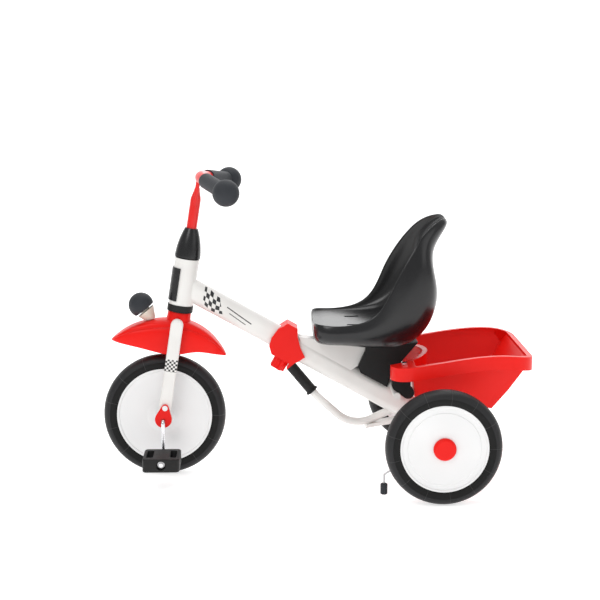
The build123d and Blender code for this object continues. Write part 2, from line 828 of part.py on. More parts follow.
def make_clamp(side):
    """Half of the moulded clamp round the end of the rear tube, split on the middle plane."""
    with BuildPart() as clamp:
        with BuildSketch(tube_side()):
            with BuildLine():
                Polyline(
                    (clamp_u - 19, 37.5),
                    (clamp_u + 4, 37.5),
                    (clamp_u + 13, 22),
                    (clamp_u + 30, 4),
                    (clamp_u + 46, -7),
                    (clamp_u + 37, -24),
                    (clamp_u + 26, -34),
                    (clamp_u - 17, -34),
                    (clamp_u - 29, -22),
                    (clamp_u - 33, -5),
                    (clamp_u - 30, 17),
                    close=True,
                )
            make_face()
        extrude(amount=clamp_half, both=True)
        with BuildSketch(tube_side()):
            with BuildLine():
                Polyline(
                    (clamp_u + 14, -28),
                    (clamp_u + 25.8, -34),
                    (clamp_u + 25.8, -46),
                    (clamp_u + 27.6, -49.6),
                    (clamp_u + 35.8, -28.4),
                    (clamp_u + 35, -24),
                    close=True,
                )
            make_face()
        extrude(amount=sleeve_d / 2, both=True)
        add(tube_outline.part, mode=Mode.SUBTRACT)
        with BuildSketch(tube_plane(0)):
            SlotOverall(front_tube_tall + 2 * part_gap, front_tube_wide + 2 * part_gap)
        extrude(amount=front_tube_end, mode=Mode.SUBTRACT)
        with BuildSketch(knob_plane(-40)):
            Circle(stud_r + slide_clearance)
        extrude(amount=20, mode=Mode.SUBTRACT)
        add(clamp_screws.part, mode=Mode.SUBTRACT)
        split(bisect_by=Plane.XZ, keep=Keep.TOP if side < 0 else Keep.BOTTOM)
    return clamp


frame_clamp_left = make_clamp(-1)
save(frame_clamp_left, "frame_clamp_left")
frame_clamp_right = make_clamp(1)
save(frame_clamp_right, "frame_clamp_right")

stud_tip_v = -front_tube_tall / 2 - 0.3
with BuildPart() as clamp_stud:
    with BuildSketch(knob_plane(-50)):
        Circle(stud_r)
    extrude(amount=50 + stud_tip_v)
save(clamp_stud, "clamp_stud")

with BuildPart() as clamp_knob:
    with BuildSketch(knob_plane(-58)):
        Circle(13)
        with PolarLocations(12, 5):
            Circle(4.5)
    extrude(amount=58 - 34 - part_gap)
    add(clamp_stud.part, mode=Mode.SUBTRACT)
save(clamp_knob, "clamp_knob")

with BuildPart() as lower_sleeve:
    with BuildSketch(sleeve_plane):
        Circle(sleeve_d / 2)
        Circle(lower_tube_d / 2, mode=Mode.SUBTRACT)
    extrude(amount=sleeve_length)
    with BuildSketch(sleeve_plane.offset(sleeve_length)):
        Circle(sleeve_d / 2 + 2)
        Circle(lower_tube_d / 2, mode=Mode.SUBTRACT)
    extrude(amount=3)
save(lower_sleeve, "lower_sleeve")

first_run = sleeve_length + 16
lower_corner = (x_rear - 161, 0, 93)
lower_end = tube_point(tube_length - 66)
with BuildLine() as lower_path:
    FilletPolyline(
        sleeve_start,
        tuple(start + first_run * step for start, step in zip(sleeve_start, sleeve_dir)),
        lower_corner,
        lower_end,
        radius=[60, 65],
    )
with BuildPart() as lower_outline:
    with BuildSketch(Plane(origin=lower_path.line @ 0, z_dir=lower_path.line % 0)):
        Circle(lower_tube_d / 2)
    sweep(path=lower_path.line)
with BuildPart() as lower_bore:
    with BuildSketch(Plane(origin=lower_path.line @ 0, z_dir=lower_path.line % 0)):
        Circle(lower_tube_d / 2 - 1.5)
    sweep(path=lower_path.line)

with BuildPart() as lower_tube:
    add(lower_outline.part)
    add(lower_bore.part, mode=Mode.SUBTRACT)
    add(tube_outline.part, mode=Mode.SUBTRACT)
save(lower_tube, "lower_tube")

with BuildPart() as axle_brace:
    with BuildSketch(Plane.XZ):
        with BuildLine():
            Polyline(
                side_point(x_rear, -135, 93),
                side_point(x_rear, -129, 101),
                side_point(x_rear, -50, 117),
                side_point(x_rear, -50, 108),
                close=True,
            )
        make_face()
    extrude(amount=13, both=True)
    add(lower_outline.part, mode=Mode.SUBTRACT)
    add(tube_outline.part, mode=Mode.SUBTRACT)
save(axle_brace, "axle_brace")

# ---------------------------------------------------------------- seat and its support
bracket_half, bracket_wall, flange_half = 17, 3, 34
block_half = 30
bracket_top = seat_pan_z - seat_wall
bracket_front, bracket_rear = x_rear - 236, x_rear - 137
seat_front, seat_rear = x_rear - 245, x_rear + 27
seat_corner = 55
seat_top = 532
seat_rounding = 90          # radius of the back's top seen from the front

with BuildPart() as seat_bolts:
    for x in (bracket_front + 20, bracket_rear - 20):
        with BuildSketch(Plane.XY.offset(bracket_top - bracket_wall)):
            with Locations((x, -26), (x, 26)):
                Circle(5.5)
        extrude(amount=-4)
        with BuildSketch(Plane.XY.offset(bracket_top - bracket_wall)):
            with Locations((x, -26), (x, 26)):
                Circle(3)
        extrude(amount=bracket_wall + seat_wall - 1)
save(seat_bolts, "seat_bolts")

with BuildPart() as seat_bracket:
    with BuildSketch(Plane.XZ):
        with BuildLine():
            Polyline(
                over_tube(-272, -2.5),
                over_tube(-236, 12),
                side_point(x_rear, -236, bracket_top),
                side_point(x_rear, -137, bracket_top),
                side_point(x_rear, -137, 260),
                over_tube(-152, 4),
                over_tube(-180, -30),
                over_tube(-262, -22),
                close=True,
            )
        make_face()
    extrude(amount=bracket_half, both=True)
    with BuildSketch(Plane.XZ):
        with BuildLine():
            Polyline(
                over_tube(-233, -27),
                side_point(x_rear, -233, bracket_top - bracket_wall),
                side_point(x_rear, -140, bracket_top - bracket_wall),
                over_tube(-140, -25),
                close=True,
            )
        make_face()
    extrude(amount=bracket_half - bracket_wall, both=True, mode=Mode.SUBTRACT)
    with BuildSketch(Plane.XY.offset(bracket_top)):
        with Locations(((bracket_front + bracket_rear) / 2, 0)):
            Rectangle(bracket_rear - bracket_front, 2 * flange_half)
    extrude(amount=-bracket_wall)
    add(tube_outline.part, mode=Mode.SUBTRACT)
    add(seat_bolts.part, mode=Mode.SUBTRACT)
save(seat_bracket, "seat_bracket")

with BuildPart() as seat_block:
    with BuildSketch(Plane.XZ):
        with BuildLine():
            Polyline(
                side_point(x_rear, -137, bracket_top),
                side_point(x_rear, -80, bracket_top),
                side_point(x_rear, -80, 269),
                side_point(x_rear, -30, 277),
                side_point(x_rear, -63, 238),
                side_point(x_rear, -86, 206),
                over_tube(-92, -4.5),
                over_tube(-147, -5),
                over_tube(-152, 4),
                side_point(x_rear, -137, 260),
                close=True,
            )
        make_face()
    extrude(amount=block_half, both=True)
    add(tube_outline.part, mode=Mode.SUBTRACT)
save(seat_block, "seat_block")


def seat_limits(wall):
    """The space the seat fills seen from the front and from above, less a wall."""
    half = seat_half - wall
    with BuildPart() as limits:
        with BuildSketch(Plane.YZ.offset(seat_front)):
            with Locations((0, (seat_top + 200) / 2)):
                RectangleRounded(2 * half, seat_top - 200 - 2 * wall, seat_rounding - wall)
            with Locations((0, 280)):
                Rectangle(2 * half, 160)
        extrude(amount=seat_rear - seat_front)
        with BuildSketch(Plane.XY.offset(240)):
            with Locations(((seat_front + seat_rear) / 2, 0)):
                RectangleRounded(seat_rear - seat_front - 2 * wall, 2 * half, seat_corner - wall)
        extrude(amount=320, mode=Mode.INTERSECT)
    return limits


with BuildPart() as seat_bucket:
    with BuildSketch(Plane.XZ):
        with BuildLine():
            Spline(
                side_point(x_rear, -251, 322),
                side_point(x_rear, -217, seat_pan_z),
                side_point(x_rear, -162, seat_pan_z),
                side_point(x_rear, -107, seat_pan_z + 1),
                side_point(x_rear, -67, 335),
                side_point(x_rear, -32, 375),
                side_point(x_rear, -20, 420),
                side_point(x_rear, -25, 450),
                side_point(x_rear, -16, 478),
                side_point(x_rear, 1, 502),
                side_point(x_rear, 21, 530),
            )
            Polyline(
                side_point(x_rear, 21, 530),
                side_point(x_rear, 21, 560),
                side_point(x_rear, -251, 560),
                side_point(x_rear, -251, 322),
            )
        make_face()
    extrude(amount=seat_half, both=True)
    add(seat_limits(seat_wall).part, mode=Mode.INTERSECT)

with BuildPart() as seat_hollow:
    with BuildSketch(Plane.XZ):
        with BuildLine():
            Polyline(
                side_point(x_rear, -250, 240),
                side_point(x_rear, -250, bracket_top),
                side_point(x_rear, -102, bracket_top),
                side_point(x_rear, -77, 316),
                side_point(x_rear, -47, 300),
                side_point(x_rear, -47, 240),
                close=True,
            )
        make_face()
    extrude(amount=seat_half, both=True)
    add(seat_limits(seat_wall).part, mode=Mode.INTERSECT)

with BuildPart() as seat:
    with BuildSketch(Plane.XZ):
        with BuildLine():
            Spline(
                side_point(x_rear, -245, 329),
                side_point(x_rear, -217, 323),
                side_point(x_rear, -182, 326),
                side_point(x_rear, -154, 330),
                side_point(x_rear, -130, 344),
                side_point(x_rear, -116, 360),
                side_point(x_rear, -103, 388),
                side_point(x_rear, -92, 416),
                side_point(x_rear, -78, 442),
                side_point(x_rear, -60, 472),
                side_point(x_rear, -39, 497),
                side_point(x_rear, -19, 522),
                side_point(x_rear, 4, 531),
                side_point(x_rear, 25, 529),
            )
            Spline(
                side_point(x_rear, 25, 529),
                side_point(x_rear, 20, 512),
                side_point(x_rear, 6, 494),
                side_point(x_rear, -8, 476),
                side_point(x_rear, -14, 455),
                side_point(x_rear, -11, 437),
                side_point(x_rear, -4, 413),
                side_point(x_rear, 1, 386),
                side_point(x_rear, -3, 354),
                side_point(x_rear, -11, 330),
                side_point(x_rear, -23, 306),
                side_point(x_rear, -41, 288),
                side_point(x_rear, -73, 275),
                side_point(x_rear, -95, 272),
            )
            Polyline(
                side_point(x_rear, -95, 272),
                side_point(x_rear, -137, 275),
                side_point(x_rear, -189, 282),
                side_point(x_rear, -232, 279),
                side_point(x_rear, -245, 296),
                side_point(x_rear, -245, 329),
            )
        make_face()
    extrude(amount=seat_half, both=True)
    add(seat_limits(0).part, mode=Mode.INTERSECT)
    add(seat_bucket.part, mode=Mode.SUBTRACT)
    add(seat_hollow.part, mode=Mode.SUBTRACT)
    with BuildSketch(Plane.XY.offset(bracket_top - 2)):
        with Locations((x_rear - 162, -45), (x_rear - 162, 45)):
            SlotOverall(26, 6)
    extrude(amount=seat_wall + 6, mode=Mode.SUBTRACT)
    with BuildSketch(Plane.YZ.offset(x_rear - 60)):
        with Locations((-45, 452), (45, 452)):
            SlotOverall(26, 8)
    extrude(amount=90, mode=Mode.SUBTRACT)
    add(seat_bolts.part, mode=Mode.SUBTRACT)
save(seat, "seat")

# ---------------------------------------------------------------- tipping tray
tray_front, tray_rear = x_rear - 93, x_rear + tray_overhang
tray_corner = 45
arc_x, arc_r = x_rear - 123.6, 104.6        # the hollow front edge, curved round the seat's block


def tray_plan(inset):
    """The tray's outline from above, moved in by inset, as a tall block."""
    with BuildPart() as block:
        with BuildSketch(Plane.XY.offset(130)):
            with Locations(((tray_front + tray_rear) / 2, 0)):
                RectangleRounded(
                    tray_rear - tray_front - 2 * inset, 2 * (tray_half - inset), tray_corner - inset
                )
            with Locations((arc_x, 0)):
                Circle(arc_r + inset, mode=Mode.SUBTRACT)
        extrude(amount=170)
    return block


def tray_band(upper, lower):
    """The band between two copies of the rim's side curve, upper and lower below it."""
    with BuildPart() as band:
        with BuildSketch(Plane.XZ):
            with BuildLine():
                for drop in (upper, lower):
                    Spline(
                        side_point(x_rear, -97, 246 - drop),
                        side_point(x_rear, -7, 258 - drop),
                        side_point(x_rear, 73, 270 - drop),
                        side_point(x_rear, 121, 273 - drop),
                        side_point(x_rear, 193, 264 - drop),
                    )
                Line(side_point(x_rear, -97, 246 - upper), side_point(x_rear, -97, 246 - lower))
                Line(side_point(x_rear, 193, 264 - upper), side_point(x_rear, 193, 264 - lower))
            make_face()
        extrude(amount=tray_half + 1, both=True)
    return band


def tray_well(inset, top):
    """The tray's well, its walls moved in by inset."""
    with BuildPart() as well:
        with BuildSketch(Plane.XZ):
            with BuildLine():
                Polyline(
                    side_point(x_rear, -49 + inset, top),
                    side_point(x_rear, -49 + inset, 216),
                    side_point(x_rear, -44 + inset, 181 + inset),
                    side_point(x_rear, 111 - inset, 156 + inset),
                    side_point(x_rear, 140 - inset, 197),
                    side_point(x_rear, 178 - inset, 262),
                    side_point(x_rear, 178 - inset, top),
                    close=True,
                )
            make_face()
        extrude(amount=tray_half, both=True)
        with BuildSketch(Plane.YZ.offset(tray_front)):
            with BuildLine():
                Polyline(
                    (-97 + inset, 150),
                    (-143 + inset, 262),
                    (-143 + inset, 300),
                    (143 - inset, 300),
                    (143 - inset, 262),
                    (97 - inset, 150),
                    close=True,
                )
            make_face()
        extrude(amount=tray_rear - tray_front, mode=Mode.INTERSECT)
        add(tray_plan(tray_flange - tray_wall + inset).part, mode=Mode.INTERSECT)
    return well


plate_lean = 7.6            # degrees, slope of the tray's front ears
bolt_dx, bolt_y = -66, 111
bolt_plane = Plane(
    origin=(x_rear + bolt_dx, 0, 249.7),
    x_dir=(cos(radians(plate_lean)), 0, sin(radians(plate_lean))),
    z_dir=(-sin(radians(plate_lean)), 0, cos(radians(plate_lean))),
)
with BuildPart() as tray_bolts:
    with BuildSketch(bolt_plane):
        with Locations((0, -bolt_y), (0, bolt_y)):
            Circle(6)
    extrude(amount=4)
    with BuildSketch(bolt_plane):
        with Locations((0, -bolt_y), (0, bolt_y)):
            Circle(3)
    extrude(amount=-34)
save(tray_bolts, "tray_bolts")

with BuildPart() as rim_space:
    add(tray_band(tray_wall, tray_skirt + 10).part)
    add(tray_plan(tray_wall).part, mode=Mode.INTERSECT)

with BuildPart() as well_outline:
    add(tray_well(0, 290).part)
    add(tray_band(0, 150).part, mode=Mode.INTERSECT)

with BuildPart() as tray:
    add(tray_band(0, tray_skirt).part)
    add(tray_plan(0).part, mode=Mode.INTERSECT)
    add(rim_space.part, mode=Mode.SUBTRACT)
    add(well_outline.part)
    for side in (-1, 1):
        lug_middle = side * (lug_y + lug_thick / 2)
        with BuildSketch(Plane(origin=(x_rear, lug_middle, pivot_z), x_dir=(1, 0, 0), z_dir=(0, -1, 0))):
            Circle(9)
            with Locations((0, 15)):
                Rectangle(18, 30)
        extrude(amount=lug_thick / 2, both=True)
    add(tray_well(tray_wall, 295).part, mode=Mode.SUBTRACT)
    add(make_bar(x_rear, pivot_z, pivot_pin_d / 2 + slide_clearance, lug_y + lug_thick + 1).part,
        mode=Mode.SUBTRACT)
    add(tray_bolts.part, mode=Mode.SUBTRACT)
save(tray, "tray")

with BuildPart() as tray_pivot_pin:
    add(make_bar(x_rear, pivot_z, pivot_pin_d / 2, ear_y + ear_thick + 3).part)
    for side in (-1, 1):
        with BuildSketch(Plane(origin=(x_rear, side * (ear_y + ear_thick), pivot_z), z_dir=(0, side, 0))):
            Circle(6.5)
        extrude(amount=3)
save(tray_pivot_pin, "tray_pivot_pin")

rest_r = 7
rest_x, rest_z = over_tube(-81, rest_r - 1.1)
buffer_y, buffer_wide = 111, 20

with BuildPart() as tray_rest_bar:
    add(make_bar(rest_x, rest_z, rest_r, 124).part)
    add(tube_outline.part, mode=Mode.SUBTRACT)
save(tray_rest_bar, "tray_rest_bar")

with BuildPart() as tray_buffers:
    for side in (-1, 1):
        with BuildSketch(
            Plane(origin=(x_rear, side * buffer_y, 0), x_dir=(1, 0, 0), z_dir=(0, -1, 0))
        ):
            with BuildLine():
                CenterArc((-79, rest_z + 21), 12, 0, 360)
                CenterArc((-59, rest_z + 6), 12, 0, 360)
            make_hull()
            with Locations((bolt_dx, 232)):
                Rectangle(24, 50)
        extrude(amount=buffer_wide / 2, both=True)
    add(tray_band(0, 300).part, mode=Mode.INTERSECT)
    add(tray.part, mode=Mode.SUBTRACT)
    add(tray_bolts.part, mode=Mode.SUBTRACT)
    add(make_bar(rest_x, rest_z, rest_r + part_gap, 130).part, mode=Mode.SUBTRACT)
save(tray_buffers, "tray_buffers")

# ---------------------------------------------------------------- brake lever
lever_y, lever_r = 190, 2
lever_pivot_dx, lever_pivot_z = -25, 92
mount_in, mount_out = 158, 184

with BuildPart() as brake_mount:
    with BuildSketch(Plane(origin=(x_rear, -mount_in, 0), x_dir=(1, 0, 0), z_dir=(0, -1, 0))):
        with Locations((-21, 98)):
            RectangleRounded(28, 28, 6)
    extrude(amount=mount_out - mount_in)
    with BuildSketch(
        Plane(origin=(x_rear + lever_pivot_dx, -mount_in, lever_pivot_z), x_dir=(1, 0, 0), z_dir=(0, -1, 0))
    ):
        Circle(lever_r + slide_clearance)
    extrude(amount=mount_out - mount_in, mode=Mode.SUBTRACT)
    add(beam_outline.part, mode=Mode.SUBTRACT)
save(brake_mount, "brake_mount")

with BuildPart() as brake_lever:
    with BuildLine() as lever_path:
        FilletPolyline(
            (x_rear + lever_pivot_dx, -mount_in - 3, lever_pivot_z),
            (x_rear + lever_pivot_dx, -lever_y, lever_pivot_z),
            (x_rear - 103, -lever_y, 54),
            (x_rear - 111, -lever_y, 48),
            (x_rear - 111, -lever_y, 13),
            radius=4,
        )
    with BuildSketch(Plane(origin=lever_path.line @ 0, z_dir=lever_path.line % 0)):
        Circle(lever_r)
    sweep()
save(brake_lever, "brake_lever")

with BuildPart() as brake_tip:
    with BuildSketch(Plane(origin=(x_rear - 111, -lever_y, 9), z_dir=(0, 0, 1))):
        Circle(7)
    extrude(amount=22)
    fillet(brake_tip.edges().filter_by(GeomType.CIRCLE), 2.5)
    add(brake_lever.part, mode=Mode.SUBTRACT)
save(brake_tip, "brake_tip")
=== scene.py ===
# %% [markdown]
# # A child's tricycle, dressed in Blender
# The CAD model gives every hard part its size and place. This script loads that model, gives each
# carried-over part a finish, and puts spun or lofted shapes in place of the seat, the mudguard, the
# horn's dome and the tyres. All lengths are in metres.

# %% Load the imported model
import bmesh
import bpy
import json
from math import cos, pi, radians, sin
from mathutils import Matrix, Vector

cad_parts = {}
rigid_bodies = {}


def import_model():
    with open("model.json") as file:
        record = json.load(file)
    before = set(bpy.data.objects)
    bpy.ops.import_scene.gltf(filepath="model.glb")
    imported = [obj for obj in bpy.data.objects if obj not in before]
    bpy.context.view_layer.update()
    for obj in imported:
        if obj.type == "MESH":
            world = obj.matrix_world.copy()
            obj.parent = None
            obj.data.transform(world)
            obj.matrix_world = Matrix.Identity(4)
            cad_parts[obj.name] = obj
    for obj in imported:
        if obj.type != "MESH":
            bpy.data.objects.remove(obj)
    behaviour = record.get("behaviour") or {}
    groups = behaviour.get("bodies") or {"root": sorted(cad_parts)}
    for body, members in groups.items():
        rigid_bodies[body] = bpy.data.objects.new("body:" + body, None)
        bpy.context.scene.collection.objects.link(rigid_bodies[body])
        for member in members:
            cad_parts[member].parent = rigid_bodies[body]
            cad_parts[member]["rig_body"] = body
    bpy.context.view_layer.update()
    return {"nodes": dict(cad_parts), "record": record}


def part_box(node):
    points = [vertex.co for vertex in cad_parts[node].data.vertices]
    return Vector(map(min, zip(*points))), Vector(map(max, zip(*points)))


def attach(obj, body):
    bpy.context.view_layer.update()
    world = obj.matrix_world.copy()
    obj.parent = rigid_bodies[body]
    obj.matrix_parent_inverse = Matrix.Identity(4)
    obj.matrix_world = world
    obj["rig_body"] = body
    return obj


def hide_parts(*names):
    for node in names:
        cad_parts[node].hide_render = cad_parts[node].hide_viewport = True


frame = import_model()
nodes = frame["nodes"]
MM = 0.001

# %% [markdown]
# Places come from the CAD boxes. The front wheel's centre, a rear wheel's centre and the lean of the
# steering axis are enough to place everything else, so they are worked out once.

# %% Centres and axes
def middle(node):
    """The centre of a CAD node's box."""
    low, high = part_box(node)
    return (low + high) / 2


front_hub = middle("front_tyre")
left_hub = middle("left_rear_tyre")
right_hub = middle("right_rear_tyre")
STEER_TILT = radians(8.8)
steer_axis = Vector((sin(STEER_TILT), 0, cos(STEER_TILT)))
steer_back = Vector((cos(STEER_TILT), 0, -sin(STEER_TILT)))
HEAD_JOINT = 270 * MM
head_point = Vector((front_hub.x, 0, front_hub.z)) + steer_axis * HEAD_JOINT
tube_foot = Vector((left_hub.x, 0, left_hub.z - 5.5 * MM))
tube_axis = (tube_foot - head_point).normalized()
tube_up = Vector((-tube_axis.z, 0, tube_axis.x))
print("front hub", front_hub, "rear hub", left_hub, "main tube falls", tube_axis)

# %% [markdown]
# ## Camera, floor and light
# The camera stands on the left side, a little above the handlebar, about three metres off with a
# long lens, so the far wheel hardly shrinks. Large soft lights and a pale floor give the plain white
# studio look, and the floor keeps only a faint contact shadow.

# %% Camera
AZIMUTH, ELEVATION, DISTANCE = radians(-1.6), radians(10.1), 2.9
aim = Vector((-0.0273, 0, 0.3602))
back = Vector((
    sin(AZIMUTH) * cos(ELEVATION), -cos(AZIMUTH) * cos(ELEVATION), sin(ELEVATION)
))
camera_data = bpy.data.cameras.new("camera")
camera_data.lens = 85.5
camera_data.sensor_width = 36
camera = bpy.data.objects.new("camera", camera_data)
bpy.context.scene.collection.objects.link(camera)
camera.location = aim + back * DISTANCE
camera.rotation_euler = (-back).to_track_quat("-Z", "Y").to_euler()
bpy.context.scene.camera = camera
print("camera at", camera.location)

# %% [markdown]
# ## Shader tools
# Patterns are worked out by maths nodes. Value lets them be written as sums, and Finish holds one
# material and adds its noise, mixes and bump.

# %% Shader maths and finishes
class Value:
    """A shader value that adds and multiplies like a number."""

    def __init__(self, tree, socket):
        self.tree, self.socket = tree, socket

    def maths(self, operation, a, b):
        node = self.tree.nodes.new("ShaderNodeMath")
        node.operation = operation
        for slot, value in zip(node.inputs, (a, b)):
            if isinstance(value, Value):
                self.tree.links.new(value.socket, slot)
            else:
                slot.default_value = value
        return Value(self.tree, node.outputs[0])

    def __add__(self, other):
        return self.maths("ADD", self, other)

    __radd__ = __add__

    def __sub__(self, other):
        return self.maths("SUBTRACT", self, other)

    def __rsub__(self, other):
        return self.maths("SUBTRACT", other, self)

    def __mul__(self, other):
        return self.maths("MULTIPLY", self, other)

    __rmul__ = __mul__

    def __pow__(self, other):
        return self.maths("POWER", self, other)

    def __gt__(self, other):
        return self.maths("GREATER_THAN", self, other)

    def __lt__(self, other):
        return self.maths("LESS_THAN", self, other)


class Finish:
    """One material being made, starting from a Principled shader with constant sockets."""

    def __init__(self, name, color, roughness, **constants):
        self.material = bpy.data.materials.new(name)
        self.material.use_nodes = True
        self.tree = self.material.node_tree
        self.shader = self.tree.nodes["Principled BSDF"]
        self.color = color
        self.shader.inputs["Base Color"].default_value = (*color, 1)
        self.shader.inputs["Roughness"].default_value = roughness
        for socket, value in constants.items():
            self.shader.inputs[socket.replace("_", " ").title().replace("Ior", "IOR")].default_value = value
        self.coordinates = self.node("ShaderNodeTexCoord", output="Object")

    def node(self, kind, settings={}, values={}, output=0):
        """Any other node: its settings first, then the values or links of its sockets."""
        node = self.tree.nodes.new(kind)
        for key, value in settings.items():
            if key == "stops":
                node.color_ramp.elements[0].position = value[0][0]
                node.color_ramp.elements[0].color = value[0][1]
                node.color_ramp.elements[1].position = value[-1][0]
                node.color_ramp.elements[1].color = value[-1][1]
                for position, color in value[1:-1]:
                    node.color_ramp.elements.new(position).color = color
            else:
                setattr(node, key, value)
        for key, value in values.items():
            if isinstance(value, Value):
                self.tree.links.new(value.socket, node.inputs[key])
            else:
                node.inputs[key].default_value = value
        return Value(self.tree, node.outputs[output])

    def feed(self, socket, value):
        self.tree.links.new(value.socket, self.shader.inputs[socket])

    def noise(self, scale, detail=3, stretch=None, place=None):
        """Noise from 0 to 1 on the object's own coordinates, scale in features per metre."""
        vector = place or self.coordinates
        if stretch:
            vector = self.node("ShaderNodeMapping", {}, {"Vector": vector, "Scale": stretch})
        return self.node(
            "ShaderNodeTexNoise", {}, {"Vector": vector, "Scale": scale, "Detail": detail}
        )

    def ease(self, value, low, high, to_low=0, to_high=1):
        """A smooth step of value from low to high."""
        return self.node(
            "ShaderNodeMapRange", {"interpolation_type": "SMOOTHSTEP"},
            {"Value": value, "From Min": low, "From Max": high, "To Min": to_low, "To Max": to_high},
        )

    def mix(self, mask, a, b):
        """Colour a where mask is 0 and colour b where it is 1."""
        values = {0: mask}
        for key, color in ((6, a), (7, b)):
            values[key] = color if isinstance(color, Value) else (*color, 1)
        return self.node("ShaderNodeMix", {"data_type": "RGBA"}, values, output=2)

    def bump(self, height, distance, strength=1):
        self.feed("Normal", self.node(
            "ShaderNodeBump", {}, {"Height": height, "Distance": distance, "Strength": strength}
        ))

    def parts(self, vector):
        """The x, y and z of a vector value."""
        node = self.tree.nodes.new("ShaderNodeSeparateXYZ")
        self.tree.links.new(vector.socket, node.inputs[0])
        return [Value(self.tree, out) for out in node.outputs]


print("finish tools ready")

# %% [markdown]
# ## Painted steel
# Powder-coated tube has a slight orange peel, a soft gloss and a colour that is never quite even.
# Fine noise drives the bump, and slow noise shifts the colour and the gloss.

# %% White and red paint
def painted(name, color, shade, roughness):
    """Powder coat: even colour with a soft orange-peel surface."""
    paint = Finish(name, color, roughness, coat_weight=0.12, coat_roughness=0.12)
    slow = paint.noise(9, 2)
    paint.base = paint.mix(paint.ease(slow, 0.35, 0.7), color, shade)
    paint.feed("Base Color", paint.base)
    paint.feed("Roughness", slow * 0.14 + (roughness - 0.06))
    paint.peel = paint.noise(420, 2)
    paint.bump(paint.peel, 0.0003, 0.25)
    return paint


WHITE = (0.80, 0.79, 0.765)
WHITE_SHADE = (0.72, 0.70, 0.675)
white_paint = painted("white_paint", WHITE, WHITE_SHADE, 0.3)
red_paint = painted("red_paint", (0.78, 0.008, 0.005), (0.70, 0.006, 0.004), 0.28)
print("paints ready")

# %% [markdown]
# The main tube carries a chequered pennant on each side. It is painted by the shader: the tube's own
# length and height come from a turned copy of the coordinates, a gentle wave bends the squares, and
# a mask cuts the pennant out of the white.

# %% Chequered pennant on the front tube
def tube_places(paint):
    """How far along the main tube a point is, and how far above its centre line."""
    shifted = paint.node(
        "ShaderNodeVectorMath", {"operation": "SUBTRACT"},
        {0: paint.coordinates, 1: tuple(head_point)},
    )
    along = paint.node(
        "ShaderNodeVectorMath", {"operation": "DOT_PRODUCT"},
        {0: shifted, 1: tuple(tube_axis)}, output="Value",
    )
    above = paint.node(
        "ShaderNodeVectorMath", {"operation": "DOT_PRODUCT"},
        {0: shifted, 1: tuple(tube_up)}, output="Value",
    )
    return along, above


def wave(paint, value, length, height):
    """A sine along value."""
    return paint.node("ShaderNodeMath", {"operation": "SINE"}, {0: value * (2 * pi / length)}) * height


flag_paint = painted("white_paint_pennant", WHITE, WHITE_SHADE, 0.3)
along, above = tube_places(flag_paint)
lifted = above + wave(flag_paint, along, 0.06, 0.0028)
slanted = along + lifted * 0.35
squares = flag_paint.node(
    "ShaderNodeTexChecker", {},
    {"Vector": flag_paint.node("ShaderNodeCombineXYZ", {}, {0: slanted, 1: lifted + 0.5, 2: 0.5}),
     "Scale": 1 / 0.0085, "Color1": (1, 1, 1, 1), "Color2": (0, 0, 0, 1)}, output="Fac",
)
inside = (slanted > 0.046) * (slanted < 0.0885 - 0.3 * lifted)
inside = inside * (lifted > -0.0135) * (lifted < 0.0185)
line_height = above - 0.006 + (along - 0.1) * 0.12
swoosh = (along > 0.098) * (along < 0.158) * (line_height > -0.0011) * (line_height < 0.0011)
line_height = above + 0.002 + (along - 0.1) * 0.12
swoosh = swoosh + (along > 0.108) * (along < 0.148) * (line_height > -0.0008) * (line_height < 0.0008)
inked = flag_paint.mix(inside * squares, flag_paint.base, (0.012, 0.012, 0.014))
flag_paint.feed("Base Color", flag_paint.mix(swoosh, inked, (0.012, 0.012, 0.014)))
print("pennant squares of 8.5 mm")

# %% [markdown]
# Each fork leg has a short band of small black and white squares. It runs square to the leg, so it
# is measured up and across the steering axis.

# %% Chequered band on the fork legs
fork_paint = painted("white_paint_band", WHITE, WHITE_SHADE, 0.28)
shifted = fork_paint.node(
    "ShaderNodeVectorMath", {"operation": "SUBTRACT"},
    {0: fork_paint.coordinates, 1: (front_hub.x, 0, front_hub.z)},
)
up_leg = fork_paint.node(
    "ShaderNodeVectorMath", {"operation": "DOT_PRODUCT"}, {0: shifted, 1: tuple(steer_axis)},
    output="Value",
)
across = fork_paint.node(
    "ShaderNodeVectorMath", {"operation": "DOT_PRODUCT"}, {0: shifted, 1: tuple(steer_back)},
    output="Value",
)
diamonds = fork_paint.node(
    "ShaderNodeTexChecker", {},
    {"Vector": fork_paint.node("ShaderNodeCombineXYZ", {}, {0: across + 0.5, 1: up_leg, 2: 0.5}),
     "Scale": 1 / 0.0042, "Color1": (1, 1, 1, 1), "Color2": (0, 0, 0, 1)}, output="Fac",
)
band = (up_leg > 0.1) * (up_leg < 0.1252)
fork_paint.feed("Base Color", fork_paint.mix(band * diamonds, fork_paint.base, (0.015, 0.015, 0.017)))
print("fork band 25 mm tall")

# %% [markdown]
# ## Moulded plastic
# The red and black mouldings are shiny with a very fine grain. The seat is the glossiest part, and
# the blocks under it are matt. One function makes them all, with the grain's size and depth as
# settings.

# %% Plastics
def moulded(name, color, shade, roughness, grain, depth, **constants):
    """Injection-moulded plastic with a fine grain and slow gloss changes."""
    plastic = Finish(name, color, roughness, **constants)
    slow = plastic.noise(7, 2)
    plastic.base = plastic.mix(plastic.ease(slow, 0.3, 0.7), color, shade)
    plastic.feed("Base Color", plastic.base)
    plastic.feed("Roughness", slow * 0.12 + (roughness - 0.06))
    plastic.bump(plastic.noise(grain, 2), depth, 0.4)
    return plastic


